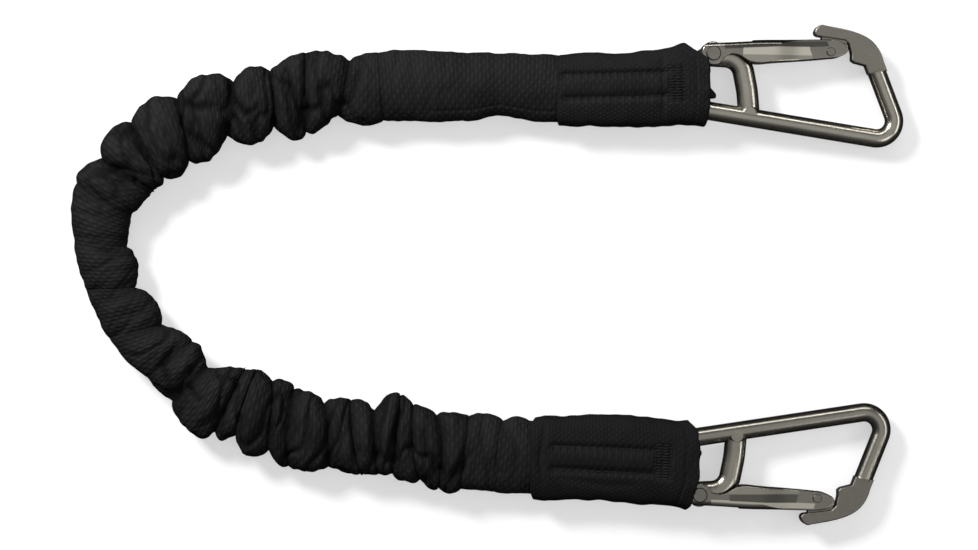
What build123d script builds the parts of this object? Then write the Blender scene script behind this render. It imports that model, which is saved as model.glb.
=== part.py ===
from build123d import *
import math
import os

# Shock absorbing lanyard, millimetres, +Z up.  It lies on a surface as a U that opens to +X.
# Hook A ends the limb at +Y, hook B the limb at -Y.  The origin is under the middle of the box.

MID_Z = 8.4             # height of the lanyard's middle plane above the surface

# ---- snap hooks, each in its own frame: origin on the eye bar, +x to the wide end, +y to the gate ----
HOOK_A_AT = (88.4, 83.9)
HOOK_A_YAW = -3.1
HOOK_B_AT = (82.7, -81.4)
HOOK_B_YAW = 2.2
HOOK_PITCH = 2.4        # nose down until it nearly touches the surface

ROD_R = 4.0             # 8 mm stainless rod
EYE_SIDE = 11.5         # centre lines of the eye's two long wires, either side of the middle
EYE_R = 6.5             # bend at the eye's two end corners
NOSE_AT = (91.3, -21.3)
NOSE_R = 7.5
ARM_TOP = (77.8, 9.0)
FOOT_AT = (23.9, -14.4)  # crossbar foot, welded to the spine
CROSS_MID = (22.4, -3.0)
CROSS_R = 40.0
SHOULDER_AT = (18.8, 11.5)
SHOULDER_R = 8.5
PRESSED_W = 4.7         # half width of the pressed wire round the pivot, in the plane of the hook
PRESSED_T = 3.7         # its half thickness
WELD_AT = (23.7, -12.4, 0.0)
WELD_R = 4.6
WELD_T = 3.8            # the weld bead is dressed flat to this half thickness
PIVOT = (6.4, 12.3)
BOSS_R = 5.2
BOSS_EDGE = 0.8
BEAK_T = 3.3            # half thickness of the flattened beak
BEAK_EDGE = 0.7
TONGUE_T = 2.5          # half thickness of the tongue that the gate closes over

SHEET = 1.2             # gate sheet
SHEET_EDGE = 0.55       # rounding of the cut sheet's outer edges
BACK_R = 3.0            # outside bend where the sheet is folded along the gate's back
PRESS_DEPTH = 0.45      # stiffening recess pressed into both cheeks
GATE_WIDE = 4.3         # half of the channel's clear width at the pivot
GATE_NARROW = 2.9       # the same at the nose
TAPER_FROM = 31.5
TAPER_TO = 45.5
WEB_FROM = 23.5         # the folded back runs from here
WEB_TO = 52.3           # to here, where it stops under the beak's tip
RIVET_R = 2.0
RIVET_HEAD_R = 3.2
RIVET_HEAD_T = 0.8
RIVET_SLACK = 0.1
FIT = 0.05              # running fit on pins
SNUG = 0.02             # a pin set in its own body
LATCH_AT = (57.1, 15.9)
LATCH_R = 1.4
LATCH_GAP = 0.45
LATCH_HEAD = 0.45
SEAT_AT = (46.5, 16.3)  # two lanced tabs that hold the spring's far end
SEAT_HIGH = 3.6
SEAT_GAP = 2.2

PUSHER_ANGLE = 5.0      # line of the spring and pusher from the pivot
PUSHER_FROM = 15.9      # distance from the pivot to the pusher's nose
PUSHER_HEAD = 4.5
PUSHER_R = 2.5
PUSHER_NOSE = 1.6
STEM_R = 1.1
STEM_LENGTH = 8.5
SPRING_TO = 40.0        # distance from the pivot to the seat
SPRING_R = 1.95
SPRING_WIRE = 0.3
SPRING_TURNS = 9.0
SPRING_SLACK = 0.05

# ---- soft parts, each end in its own frame: origin on the eye bar, -x into the lanyard ----
LIMB_A_YAW = 1.0
LIMB_B_YAW = -1.0
LIMB_SHIFT = -0.4       # the loop sits this far from the eye's middle, towards the U's inside
LOOP_R = 4.42           # inside of the load loop round the eye bar
LOOP_T = 1.5
LOOP_HALF = 4.6         # half width of the loop's strap
LOOP_TURN = 38.0        # the loop leaves the bar this far past its top
LEG_GAP = 1.95          # half of the clear height between the legs, where the cord is sewn in
LEG_MEET = 17.0
LEG_END = 54.0
CORD_R = 4.0            # 8 mm elastic cord with its braid
JACKET_T = 0.8
JACKET_SLACK = 0.05
FLAT_FROM = 19.0        # the cord's flattened end, measured from the bar
FLAT_TO = 56.0
FLAT_HALF = 6.6
FLAT_T = 1.75
FLAT_BLEND = 12.0

CUFF_T = 1.2
CUFF_HIGH = 7.6         # half thickness of both cuffs
CUFF_A_AT = (88.4, 82.8)
CUFF_A_YAW = 1.6
CUFF_A_RUN = (-59.0, 4.7)
CUFF_A_HALF = (16.4, 18.2)
CUFF_A_TRIM = ((92.4, 92.3), (86.0, 98.3))
CUFF_B_AT = (82.9, -79.7)
CUFF_B_YAW = -2.2
CUFF_B_RUN = (-65.9, 6.2)
CUFF_B_HALF = (19.3, 19.9)
CUFF_B_TRIM = ((82.5, -100.0), (88.6, -84.0))

GATE_BACK = [
    (-4.0, 16.2), (6.9, 17.45), (14.0, 18.1), (23.5, 19.1),
    (40.1, 20.2), (52.3, 21.0), (60.0, 21.3), (72.0, 21.5),
]
PRESS = [
    (19.0, 12.8), (34.0, 13.2), (47.4, 14.2), (48.6, 15.5),
    (47.6, 17.0), (34.0, 16.3), (19.0, 15.0),
]
WINDOW_AT = (55.3, 15.8)  # oval recess round the latch pin
WINDOW = (7.6, 3.2)
WINDOW_TURN = 3.0
GATE_ENDS = (-4.0, 74.0)  # the channel's tools reach past both ends of the gate
THROUGH = 40.0          # any tool that cuts right through

ROW_SIDE = 5.0          # two lengthwise seams, either side of the cuff's middle
ROW_FROM = -57.0
ROW_TO = -13.5
STITCH_PITCH = 3.2
STITCH = (2.4, 0.55, 0.4)
TACK_FROM = -12.4       # bar tack next to the eye
TACK_LONG = 6.8
TACK_SIDE = 7.2
TACK_STEP = 1.2

SLEEVE_T = 1.0
# Corners of the sleeve's centre line, from hook A round the U to hook B.
SLEEVE_ROUTE = [
    (68.9, 82.3),
    (28.0, 81.3),
    (-18.0, 82.8),
    (-70.0, 80.6),
    (-108.0, 72.6),
    (-141.0, 59.0),
    (-165.0, 37.5),
    (-169.0, 4.0),
    (-151.0, -24.5),
    (-128.5, -46.5),
    (-98.0, -60.0),
    (-57.0, -69.2),
    (-14.0, -74.4),
    (25.0, -77.6),
    (63.4, -79.0),
]
# Half width and half height of the sleeve at fractions of that line.
SLEEVE_SECTIONS = [
    (0.00, 14.4, 5.9),
    (0.10, 14.7, 6.0),
    (0.17, 15.6, 6.6),
    (0.26, 16.2, 8.0),
    (0.38, 16.6, 8.4),
    (0.46, 12.4, 8.4),
    (0.54, 12.4, 8.4),
    (0.63, 16.2, 8.4),
    (0.78, 17.0, 8.2),
    (0.85, 17.2, 7.0),
    (0.90, 17.2, 6.0),
    (1.00, 17.0, 5.9),
]
# Corners of the elastic cord's centre line between its two flattened ends.
CORD_ROUTE = [
    (20.41, 82.313),
    (-9.586, 81.79),
    (-58.0, 79.6),
    (-108.0, 72.2),
    (-141.0, 58.5),
    (-164.0, 37.0),
    (-169.0, 4.0),
    (-151.0, -24.5),
    (-128.5, -46.5),
    (-98.0, -60.0),
    (-57.0, -69.2),
    (-15.285, -79.29),
    (14.71, -79.813),
]


# ---- placing and lines ----

def hook_place(at, yaw, turned):
    """Location of a hook's own frame; the lower hook is turned over about its long axis."""
    place = Location((at[0], at[1], MID_Z)) * Rotation(0, 0, yaw) * Rotation(0, HOOK_PITCH, 0)
    if turned:
        place = place * Rotation(180, 0, 0)
    return place


def end_place(at, yaw, shift=0.0):
    """Location of a soft end's own frame, -x into the lanyard."""
    return Location((at[0], at[1] + shift, MID_Z)) * Rotation(0, 0, yaw)


def bend_radius(before, corner, after, share):
    """Radius that uses `share` of the shorter run on each side of a corner."""
    a = Vector(*before) - Vector(*corner)
    b = Vector(*after) - Vector(*corner)
    turn = 180.0 - a.get_angle(b)
    return share * min(a.length, b.length) / math.tan(math.radians(turn / 2))


def route_radii(points):
    """One bend radius for each inner corner of a route."""
    return [bend_radius(points[i - 1], points[i], points[i + 1], 0.45)
            for i in range(1, len(points) - 1)]


def route_line(route):
    """Straight runs joined by tangent arcs in the lanyard's middle plane."""
    points = [(x, y, MID_Z) for x, y in route]
    return FilletPolyline(*points, radius=route_radii(route))


def across(line, t):
    """Plane square to a flat line at fraction t, x to the side and y up."""
    along = line % t
    side = Vector(0, 0, 1).cross(along)
    return Plane(origin=line @ t, x_dir=side, z_dir=along)


def outline(points, half):
    """Closed outline in the hook's plane, thickened to both sides."""
    face = make_face(Polyline(*points, close=True))
    return extrude(face, amount=half, both=True)


def pin(at, radius, half, head_r, head_t):
    """Round pin along z with a low head at each end."""
    shank = Cylinder(radius, 2 * half)
    head = Cylinder(head_r, head_t).translate((0, 0, half + head_t / 2))
    head = chamfer(head.faces().sort_by(Axis.Z)[-1].edges(), head_t * 0.55)
    low = mirror(head, about=Plane.XY)
    return (shank + head + low).translate((at[0], at[1], 0))


# ---- hook ----

def rod_round():
    """Round rod: from the pivot round the eye, along the spine and up the arm."""
    path = FilletPolyline((PIVOT[0], EYE_SIDE), (0, EYE_SIDE), (0, -EYE_SIDE), NOSE_AT, ARM_TOP,
                          radius=[EYE_R - 0.2, EYE_R, NOSE_R])
    section = Plane(origin=path @ 0, z_dir=path % 0) * Circle(ROD_R)
    return sweep(section, path=path)


def rod_pressed():
    """The wire pressed to an oval: crossbar, shoulder and the stub that holds the pivot."""
    path = FilletPolyline(FOOT_AT, CROSS_MID, SHOULDER_AT, (PIVOT[0] - 2, EYE_SIDE),
                          radius=[CROSS_R, SHOULDER_R])
    section = Plane(origin=path @ 0, z_dir=path % 0, x_dir=(0, 0, 1)) * Ellipse(PRESSED_T, PRESSED_W)
    return sweep(section, path=path)


def beak():
    """Flattened end of the arm that reaches over the gate's nose."""
    line = Polyline((66.3, 15.6), (66.4, 12.9), (67.7, 11.9), (72.6, 10.9), (74.2, 7.2),
                    (82.1, 9.2), (80.3, 13.2))
    back = Spline((80.3, 13.2), (78.5, 17.4), (74.8, 21.7), (69.5, 24.4), (61.1, 26.3), (54.0, 27.2))
    tip = Spline((54.0, 27.2), (50.7, 26.2), (49.8, 23.8), (51.5, 22.3))
    under = Polyline((51.5, 22.3), (63.1, 21.3), (65.1, 19.6), (66.3, 15.6))
    face = make_face(Wire(line.edges() + back.edges() + tip.edges() + under.edges()))
    plate = extrude(face, amount=BEAK_T, both=True)
    rims = [e for e in plate.edges() if abs(abs(e.center().Z) - BEAK_T) < 0.01]
    return fillet(rims, BEAK_EDGE)


def tongue():
    """Thin web under the beak with the slot for the latch pin."""
    web = outline([(53.1, 22.6), (53.4, 14.6), (62.5, 14.9), (63.4, 17.2), (64.1, 22.0)], TONGUE_T)
    half = LATCH_R + LATCH_GAP
    deep = 6.0
    slot = Box(2 * half, deep, THROUGH).translate((LATCH_AT[0], LATCH_AT[1] - deep / 2, 0))
    head = Cylinder(half, THROUGH).translate((LATCH_AT[0], LATCH_AT[1], 0))
    return web - slot - head


def hook_body():
    """One welded and forged piece of stainless rod."""
    boss = Cylinder(BOSS_R, 2 * PRESSED_T).translate((PIVOT[0], PIVOT[1], 0))
    boss = fillet(boss.edges().filter_by(GeomType.CIRCLE), BOSS_EDGE)
    weld = (Sphere(WELD_R) & Box(4 * WELD_R, 4 * WELD_R, 2 * WELD_T)).translate(WELD_AT)
    body = rod_round() + rod_pressed() + boss + weld + beak() + tongue()
    hole = Cylinder(RIVET_R + SNUG, THROUGH).translate((PIVOT[0], PIVOT[1], 0))
    return body - hole


def gate_side(half):
    """The cheek's outline, thickened; its upper rim stands a little above the folded back."""
    rim = Spline((6.9, 17.27), (14.0, 18.3), (23.5, 19.4), (40.1, 20.5), (52.3, 21.3),
                 (59.0, 20.9), (63.2, 19.6), (64.5, 16.9), (62.4, 14.7), (57.9, 13.3))
    low = Spline((57.9, 13.3), (49.7, 12.1), (40.7, 11.0), (31.5, 9.9), (25.8, 9.2),
                 (21.4, 10.0), (17.8, 11.9), (14.2, 12.3), (10.8, 9.95))
    heel = ThreePointArc((10.8, 9.95), (1.99, 9.95), (6.9, 17.27))
    face = make_face(Wire(rim.edges() + low.edges() + heel.edges()))
    return extrude(face, amount=half, both=True)


def gate_plan(wide, narrow):
    """Plan of the channel seen along y, extruded through the gate."""
    ease = [(1, 0), (1, 0)]
    near = Spline((TAPER_FROM, -wide), (TAPER_TO, -narrow), tangents=ease)
    far = Spline((TAPER_FROM, wide), (TAPER_TO, narrow), tangents=ease)
    nose = Polyline((TAPER_TO, -narrow), (GATE_ENDS[1], -narrow), (GATE_ENDS[1], narrow),
                    (TAPER_TO, narrow))
    heel = Polyline((TAPER_FROM, wide), (GATE_ENDS[0], wide), (GATE_ENDS[0], -wide),
                    (TAPER_FROM, -wide))
    face = Plane.XZ * make_face(Wire(near.edges() + nose.edges() + far.edges() + heel.edges()))
    return extrude(face, amount=THROUGH, both=True)


def gate_fold(half, drop, radius):
    """Everything inside the bend along the gate's back."""
    path = Spline(*GATE_BACK)
    start = path @ 0
    plane = Plane(origin=start, z_dir=path % 0, x_dir=(0, 0, 1))
    up = 1.0 if plane.y_dir.Y > 0 else -1.0
    section = Pos(0, up * (-drop - THROUGH / 2)) * RectangleRounded(2 * half, THROUGH, radius)
    return sweep(plane * section, path=path)


def gate_press():
    """What is pressed into the cheeks: a long recess and an oval round the latch pin."""
    long = make_face(Polyline(*PRESS, close=True))
    oval = Pos(*WINDOW_AT) * Rotation(0, 0, WINDOW_TURN) * SlotOverall(*WINDOW)
    tools = extrude(long, amount=THROUGH, both=True) + extrude(oval.face(), amount=THROUGH, both=True)
    keep = gate_plan(GATE_WIDE + SHEET - PRESS_DEPTH, GATE_NARROW + SHEET - PRESS_DEPTH)
    return tools - keep


def gate():
    """Folded sheet channel, open to the inside, with cheeks, back and two spring tabs."""
    shell = gate_side(GATE_WIDE + SHEET) & gate_plan(GATE_WIDE + SHEET, GATE_NARROW + SHEET)
    shell = fillet([e for e in shell.edges() if abs(e.center().Z) > GATE_NARROW], SHEET_EDGE)
    shell = (shell & gate_fold(GATE_WIDE + SHEET, 0.0, BACK_R)) - gate_press()
    heel_room = Box(THROUGH, 2 * THROUGH, THROUGH).translate((WEB_FROM - THROUGH / 2, 0, 0))
    nose_room = Box(THROUGH, 2 * THROUGH, THROUGH).translate((WEB_TO + THROUGH / 2, 0, 0))
    under_back = Box(WEB_TO - WEB_FROM, 2 * THROUGH, THROUGH).translate(((WEB_TO + WEB_FROM) / 2, 0, 0))
    under_back = under_back & gate_fold(GATE_WIDE, SHEET, BACK_R - SHEET)
    cavity = gate_plan(GATE_WIDE, GATE_NARROW) & (under_back + heel_room + nose_room)
    tabs = Box(SHEET, SEAT_HIGH, 2 * GATE_NARROW + SHEET) - Box(2 * SHEET, 2 * SEAT_HIGH, SEAT_GAP)
    holes = Cylinder(RIVET_R + FIT, THROUGH).translate((PIVOT[0], PIVOT[1], 0))
    holes = holes + Cylinder(LATCH_R + SNUG, THROUGH).translate((LATCH_AT[0], LATCH_AT[1], 0))
    return shell - cavity + tabs.translate((SEAT_AT[0], SEAT_AT[1], 0)) - holes


def gate_rivet():
    """Pivot rivet, set in the hook's boss."""
    return pin(PIVOT, RIVET_R, GATE_WIDE + SHEET + RIVET_SLACK, RIVET_HEAD_R, RIVET_HEAD_T)


def latch_pin():
    """Cross pin in the gate's nose that enters the tongue's slot."""
    return pin(LATCH_AT, LATCH_R, GATE_NARROW + SHEET + SNUG, LATCH_R + 0.5, LATCH_HEAD)


def pusher_line():
    """Plane at the pivot with z along the pusher."""
    angle = math.radians(PUSHER_ANGLE)
    return Plane(origin=(PIVOT[0], PIVOT[1], 0), z_dir=(math.cos(angle), math.sin(angle), 0))


def pusher():
    """Round-nosed plunger between the shoulder and the spring."""
    head = Cylinder(PUSHER_R, PUSHER_HEAD).translate((0, 0, PUSHER_FROM + PUSHER_HEAD / 2))
    head = fillet(head.faces().sort_by(Axis.Z)[0].edges(), PUSHER_NOSE)
    stem = Cylinder(STEM_R, STEM_LENGTH).translate((0, 0, PUSHER_FROM + PUSHER_HEAD + STEM_LENGTH / 2))
    return pusher_line().location * (head + stem)


def gate_spring():
    """Compression coil between the pusher's head and the gate's tabs."""
    start = PUSHER_FROM + PUSHER_HEAD + SPRING_WIRE + SPRING_SLACK
    height = SPRING_TO - SPRING_WIRE - SPRING_SLACK - start
    coil = Helix(height / SPRING_TURNS, height, SPRING_R)
    section = Plane(origin=coil @ 0, z_dir=coil % 0) * Circle(SPRING_WIRE)
    spring = sweep(section, path=coil, is_frenet=True)
    return pusher_line().location * spring.translate((0, 0, start))


# ---- soft parts ----

def flat_tube(run, halves, high, grow):
    """Flat-sided oval that runs along x and changes width on the way."""
    sections = [Plane.YZ.offset(x) * SlotOverall(2 * (w + grow), 2 * (high + grow))
                for x, w in zip(run, halves)]
    return loft([s.face() for s in sections])


def trim_wedge(line):
    """Block on the outer side of a slanting cut, to the right of the line's direction."""
    (x0, y0), (x1, y1) = line
    angle = math.degrees(math.atan2(y1 - y0, x1 - x0))
    wide, deep, high = 120.0, 60.0, 40.0
    block = Box(wide, deep, high).translate((0, -deep / 2, 0))
    return Location(((x0 + x1) / 2, (y0 + y1) / 2, MID_Z)) * Rotation(0, 0, angle) * block


def cuff(at, yaw, run, halves, trim):
    """Webbing cover over the sewn end, its mouth cut back round the gate's pivot."""
    tube = flat_tube(run, halves, CUFF_HIGH, 0.0) - flat_tube(run, halves, CUFF_HIGH, -CUFF_T)
    return end_place(at, yaw) * tube - trim_wedge(trim)


def load_loop():
    """Strap round the eye bar whose two legs close on the flattened cord."""
    turn = math.radians(LOOP_TURN)

    def side(radius, gap):
        leave = (-radius * math.sin(turn), radius * math.cos(turn))
        return leave, (-LEG_MEET, gap), (-LEG_END, gap)

    out = side(LOOP_R + LOOP_T, LEG_GAP + LOOP_T)
    ins = side(LOOP_R, LEG_GAP)
    leg = [*out, *reversed(ins)]
    outer = ThreePointArc((out[0][0], -out[0][1]), (LOOP_R + LOOP_T, 0), out[0])
    inner = ThreePointArc((ins[0][0], -ins[0][1]), (LOOP_R, 0), ins[0])
    up = Polyline(*leg)
    down = Polyline(*[(x, -y) for x, y in leg])
    face = Plane.XZ * make_face(Wire(outer.edges() + up.edges() + inner.edges() + down.edges()))
    return extrude(face, amount=LOOP_HALF, both=True)


def cord_end(at, yaw, shift, grow):
    """Flattened, sewn end of the elastic cord."""
    def flat_section(x):
        return (Plane.YZ.offset(x) * SlotOverall(2 * (FLAT_HALF + grow), 2 * (FLAT_T + grow))).face()

    start = -FLAT_FROM + grow
    flat = loft([flat_section(start), flat_section(-FLAT_TO)])
    round_plane = Plane.YZ.offset(-FLAT_TO - FLAT_BLEND)
    blend = loft([flat_section(-FLAT_TO), (round_plane * Circle(CORD_R + grow)).face()])
    stub = extrude(round_plane * Circle(CORD_R + grow - SNUG), amount=1.0, both=True)
    return end_place(at, yaw, shift) * (flat + blend + stub)


def cord(line, grow):
    """The whole elastic cord; grow is zero for its surface and negative for what is inside."""
    section = Plane(origin=line @ 0, z_dir=line % 0) * Circle(CORD_R + grow)
    body = sweep(section, path=line)
    body = body + cord_end(HOOK_A_AT, LIMB_A_YAW, LIMB_SHIFT, grow)
    return body + cord_end(HOOK_B_AT, LIMB_B_YAW, -LIMB_SHIFT, grow)


def sleeve(line):
    """Tubular webbing that lies gathered over the elastic cord."""
    def tube(grow):
        sections = [(across(line, t) * Ellipse(a + grow, b + grow)).face()
                    for t, a, b in SLEEVE_SECTIONS]
        return sweep(sections, path=line, multisection=True)
    return tube(0.0) - tube(-SLEEVE_T)


def stitching(at, yaw):
    """Thread on both faces of a cuff: two seams and a bar tack, one small solid per stitch."""
    long, wide, high = STITCH
    count = int((ROW_TO - ROW_FROM) / STITCH_PITCH)
    tacks = int(TACK_SIDE / TACK_STEP)
    level = CUFF_HIGH + SNUG + high / 2
    threads = []
    stitch = Box(long, wide, high)
    tack = Box(TACK_LONG, wide, high)
    for z in (level, -level):
        for side in (ROW_SIDE, -ROW_SIDE):
            for i in range(count):
                threads.append(stitch.translate((ROW_FROM + (i + 0.5) * STITCH_PITCH, side, z)))
        for i in range(-tacks, tacks + 1):
            threads.append(tack.translate((TACK_FROM + TACK_LONG / 2, i * TACK_STEP, z)))
    return end_place(at, yaw) * Compound(children=threads)


def hook_parts(letter, at, yaw, turned):
    """The six nodes of one snap hook."""
    place = hook_place(at, yaw, turned)
    makers = {"body": hook_body, "gate": gate, "gate_rivet": gate_rivet, "latch_pin": latch_pin,
              "pusher": pusher, "gate_spring": gate_spring}
    return {f"hook_{letter}_{name}": place * make() for name, make in makers.items()}


def all_parts():
    """Every node of the lanyard by name."""
    cord_line = route_line(CORD_ROUTE)
    nodes = hook_parts("a", HOOK_A_AT, HOOK_A_YAW, False)
    nodes.update(hook_parts("b", HOOK_B_AT, HOOK_B_YAW, True))
    nodes["load_loop_a"] = end_place(HOOK_A_AT, LIMB_A_YAW, LIMB_SHIFT) * load_loop()
    nodes["load_loop_b"] = end_place(HOOK_B_AT, LIMB_B_YAW, -LIMB_SHIFT) * load_loop()
    nodes["cuff_a"] = cuff(CUFF_A_AT, CUFF_A_YAW, CUFF_A_RUN, CUFF_A_HALF, CUFF_A_TRIM)
    nodes["cuff_b"] = cuff(CUFF_B_AT, CUFF_B_YAW, CUFF_B_RUN, CUFF_B_HALF, CUFF_B_TRIM)
    nodes["stitching_a"] = stitching(CUFF_A_AT, CUFF_A_YAW)
    nodes["stitching_b"] = stitching(CUFF_B_AT, CUFF_B_YAW)
    nodes["sleeve"] = sleeve(route_line(SLEEVE_ROUTE))
    nodes["core_jacket"] = cord(cord_line, 0.0) - cord(cord_line, -JACKET_T)
    nodes["core_rubber"] = cord(cord_line, -JACKET_T - JACKET_SLACK)
    return nodes


def report_routes():
    """Print the bend radii and the cord's volume against section times length."""
    print("sleeve radii", [round(r, 1) for r in route_radii(SLEEVE_ROUTE)])
    print("cord radii", [round(r, 1) for r in route_radii(CORD_ROUTE)])
    line = route_line(CORD_ROUTE)
    tube = sweep(Plane(origin=line @ 0, z_dir=line % 0) * Circle(CORD_R), path=line)
    ratio = tube.volume / (math.pi * CORD_R ** 2 * line.length)
    print("cord length", round(line.length, 1), "volume over section times length", round(ratio, 4))


def main():
    os.makedirs("parts", exist_ok=True)
    report_routes()
    for name, shape in all_parts().items():
        export_step(shape, f"parts/{name}.step")
        box = shape.bounding_box()
        print(name, round(shape.volume, 1), [round(v, 1) for v in (*box.min, *box.max)])


if __name__ == "__main__":
    main()
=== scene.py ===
import math

import bpy
import numpy as np
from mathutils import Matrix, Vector, noise

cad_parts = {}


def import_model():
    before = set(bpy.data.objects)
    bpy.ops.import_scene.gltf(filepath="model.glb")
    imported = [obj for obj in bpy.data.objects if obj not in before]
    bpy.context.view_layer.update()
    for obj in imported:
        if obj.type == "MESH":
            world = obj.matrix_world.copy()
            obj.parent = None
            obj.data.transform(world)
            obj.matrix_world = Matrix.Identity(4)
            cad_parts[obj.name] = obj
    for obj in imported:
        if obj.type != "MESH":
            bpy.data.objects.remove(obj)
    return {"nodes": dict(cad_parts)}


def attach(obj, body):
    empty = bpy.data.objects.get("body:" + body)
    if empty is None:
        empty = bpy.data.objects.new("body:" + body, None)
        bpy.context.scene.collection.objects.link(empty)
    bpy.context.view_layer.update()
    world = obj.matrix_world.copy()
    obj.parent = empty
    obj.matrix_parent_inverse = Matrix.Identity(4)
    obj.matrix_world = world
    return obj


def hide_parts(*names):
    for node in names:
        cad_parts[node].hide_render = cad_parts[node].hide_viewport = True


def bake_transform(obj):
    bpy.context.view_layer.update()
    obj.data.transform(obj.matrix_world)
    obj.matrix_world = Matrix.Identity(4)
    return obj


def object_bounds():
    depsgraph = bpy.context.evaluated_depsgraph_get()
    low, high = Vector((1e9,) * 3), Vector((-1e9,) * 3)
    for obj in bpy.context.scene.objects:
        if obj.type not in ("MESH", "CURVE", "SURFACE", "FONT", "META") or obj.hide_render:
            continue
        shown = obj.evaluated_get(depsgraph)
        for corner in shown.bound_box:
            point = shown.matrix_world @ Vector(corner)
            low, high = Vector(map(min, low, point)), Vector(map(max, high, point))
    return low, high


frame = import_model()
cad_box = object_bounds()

# Shock absorbing lanyard.  Lengths below are millimetres unless a name ends in _m; meshes are in metres.

MM = 0.001
MID_Z = 8.4     # height of the middle of everything that lies flat

# Routes of the sleeve and the cord, from hook A's end, at +Y, to hook B's, at -Y.
SLEEVE_ROUTE = [
    (68.9, 82.3), (28.0, 81.3), (-18.0, 82.8), (-70.0, 80.6), (-108.0, 72.6),
    (-141.0, 59.0), (-165.0, 37.5), (-169.0, 4.0), (-151.0, -24.5), (-128.5, -46.5),
    (-98.0, -60.0), (-57.0, -69.2), (-14.0, -74.4), (25.0, -77.6), (63.4, -79.0),
]
# The first two and last two points are the flattened ends that are sewn into the load loops.
CORD_ROUTE = [
    (69.4, 83.17), (45.0, 82.74), (20.41, 82.313), (-9.586, 81.79), (-58.0, 79.6),
    (-108.0, 72.2), (-141.0, 58.5), (-164.0, 37.0), (-169.0, 4.0), (-151.0, -24.5),
    (-128.5, -46.5), (-98.0, -60.0), (-57.0, -69.2), (-15.285, -79.29), (14.71, -79.813),
    (39.0, -80.24), (63.7, -80.67),
]
CORD_D_M = 0.008

# Folds of the sleeve from hook A to hook B: the point where each meets the outside of the U, the
# point where it meets the inside, its half height, and how far the fabric after it swells outside,
# inside and on top.
FOLDS = [
    ((68.9, 96.0), (68.9, 68.6), 5.9, 0.0, 0.0, 0.0),
    ((42.0, 94.6), (42.0, 67.4), 5.9, 0.0, 0.0, 0.0),
    ((24.0, 95.6), (22.0, 66.6), 6.0, 0.2, 0.0, 0.0),
    ((4.0, 96.2), (3.9, 69.5), 6.1, 0.1, 0.5, 0.2),
    ((-13.0, 96.6), (-12.0, 67.2), 6.2, 0.2, 0.4, 0.2),
    ((-35.0, 97.4), (-30.0, 67.0), 6.4, 0.3, 0.2, 0.3),
    ((-48.0, 96.7), (-46.0, 67.6), 6.6, 0.9, 4.0, 1.0),
    ((-60.3, 93.2), (-65.4, 69.6), 5.2, 2.4, 2.6, 2.9),
    ((-79.2, 95.4), (-79.2, 62.6), 4.9, 1.9, 4.6, 3.1),
    ((-94.6, 88.3), (-93.2, 64.4), 5.0, 3.8, 6.2, 3.1),
    ((-110.5, 84.2), (-113.0, 60.6), 5.0, 6.6, 5.0, 3.2),
    ((-134.5, 76.5), (-129.4, 49.8), 5.0, 4.5, 3.6, 3.1),
    ((-154.0, 66.2), (-140.2, 42.6), 5.1, 4.5, 1.2, 2.8),
    ((-166.5, 50.9), (-145.0, 37.5), 5.6, 3.0, 1.8, 1.8),
    ((-177.6, 40.5), (-154.2, 26.8), 6.9, 0.4, 0.6, 0.6),
    ((-178.9, 16.0), (-156.0, 12.9), 6.9, 0.5, 4.2, 0.9),
    ((-173.4, -5.5), (-152.7, -4.5), 6.8, 0.4, 4.3, 1.0),
    ((-163.6, -26.2), (-141.2, -20.4), 6.6, 1.0, 1.6, 1.2),
    ((-147.2, -43.2), (-128.0, -27.6), 6.2, 1.3, 1.8, 1.8),
    ((-136.2, -53.2), (-121.0, -38.8), 5.0, 5.7, 1.2, 3.1),
    ((-118.7, -67.2), (-105.4, -39.2), 5.0, 2.9, 0.5, 2.6),
    ((-108.5, -67.4), (-100.0, -39.9), 5.3, 7.0, 0.9, 2.8),
    ((-95.2, -73.6), (-93.5, -43.9), 5.0, 1.6, 2.3, 3.0),
    ((-86.8, -81.7), (-84.3, -48.4), 4.9, 1.5, 2.3, 3.1),
    ((-69.6, -82.0), (-71.4, -54.0), 5.0, 1.3, 1.8, 3.0),
    ((-55.4, -84.0), (-59.9, -53.5), 5.2, 1.1, 2.1, 2.8),
    ((-48.4, -83.8), (-49.9, -56.7), 5.0, 0.8, 3.2, 2.9),
    ((-42.4, -85.2), (-38.6, -51.2), 5.6, 1.5, 1.3, 2.4),
    ((-30.2, -87.4), (-33.0, -55.2), 5.1, 1.9, 2.3, 2.8),
    ((-22.2, -90.6), (-23.0, -59.2), 5.1, 2.3, 1.7, 2.4),
    ((-12.8, -91.0), (-9.2, -60.0), 5.6, 0.4, 2.2, 1.1),
    ((1.5, -92.4), (5.6, -61.8), 5.9, 0.5, 1.8, 0.7),
    ((15.2, -93.2), (16.6, -61.9), 5.8, 0.2, 0.2, 0.1),
    ((40.0, -94.0), (40.0, -63.4), 5.8, 0.0, 0.0, 0.0),
    ((63.4, -94.6), (63.4, -64.0), 5.8, 0.0, 0.0, 0.0),
]
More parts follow.
